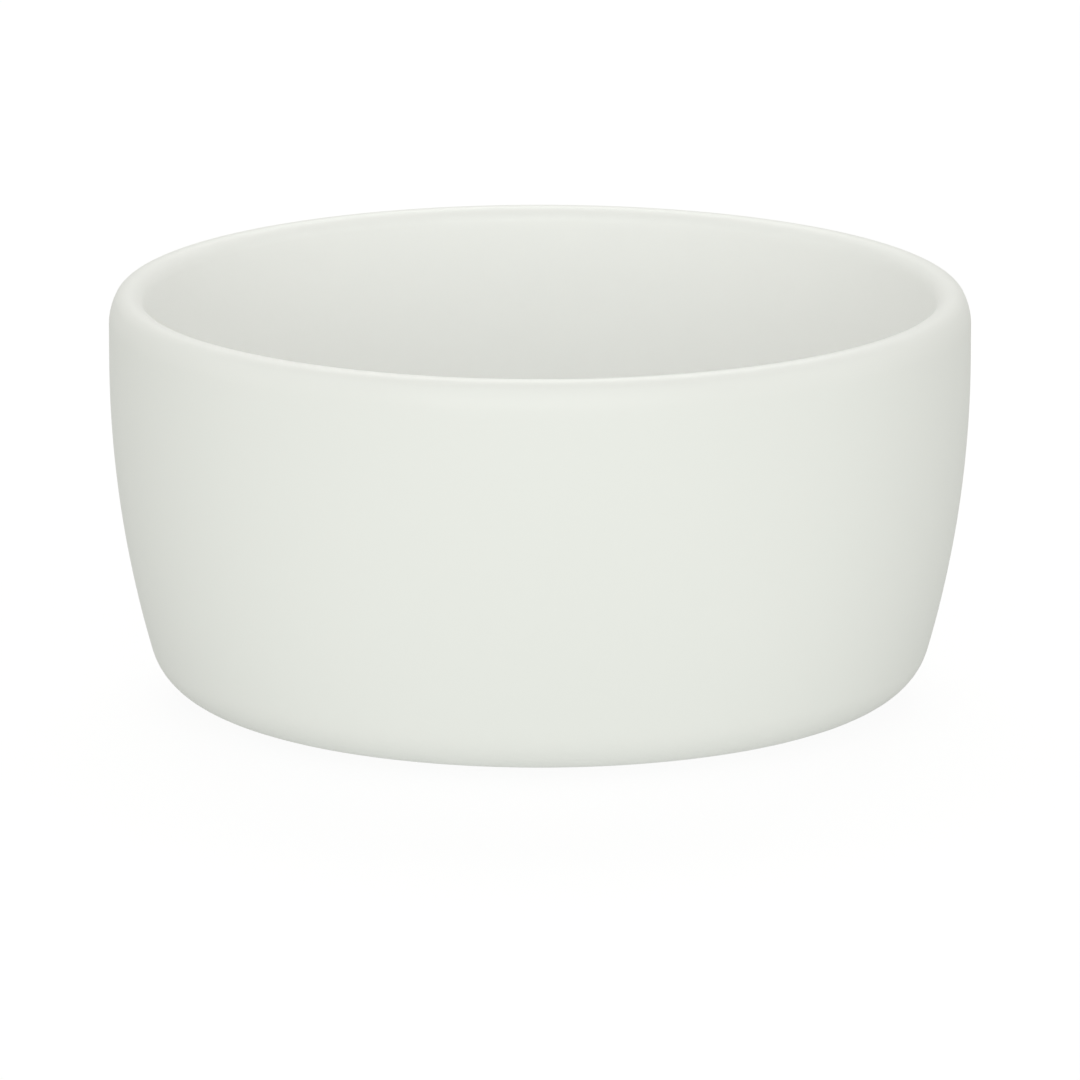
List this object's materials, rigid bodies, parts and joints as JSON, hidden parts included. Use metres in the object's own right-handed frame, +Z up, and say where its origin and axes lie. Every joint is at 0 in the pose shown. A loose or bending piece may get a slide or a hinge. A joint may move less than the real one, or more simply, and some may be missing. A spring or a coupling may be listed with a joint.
{
  "type": "sauce dish",
  "caption": "Small round sauce dish in white glazed porcelain, with a rounded lip, a wall that draws in to a soft base, and a bare foot ring to stand on.",
  "frame": {"origin": "on the table, under the centre of the bowl, at the level of the foot ring's resting face", "axes": "+Z up along the dish's axis, X and Y level and alike because the dish is round"},
  "size_m": [0.08, 0.08, 0.0388],
  "materials": {
    "porcelain": "bare fired porcelain, matt, fine grain",
    "glaze": "white glaze, satin gloss"
  },
  "bodies": {
    "root": {"porcelain_body": "porcelain", "glaze_coat": "glaze", "well_glaze": "glaze"}
  },
  "joints": []
}
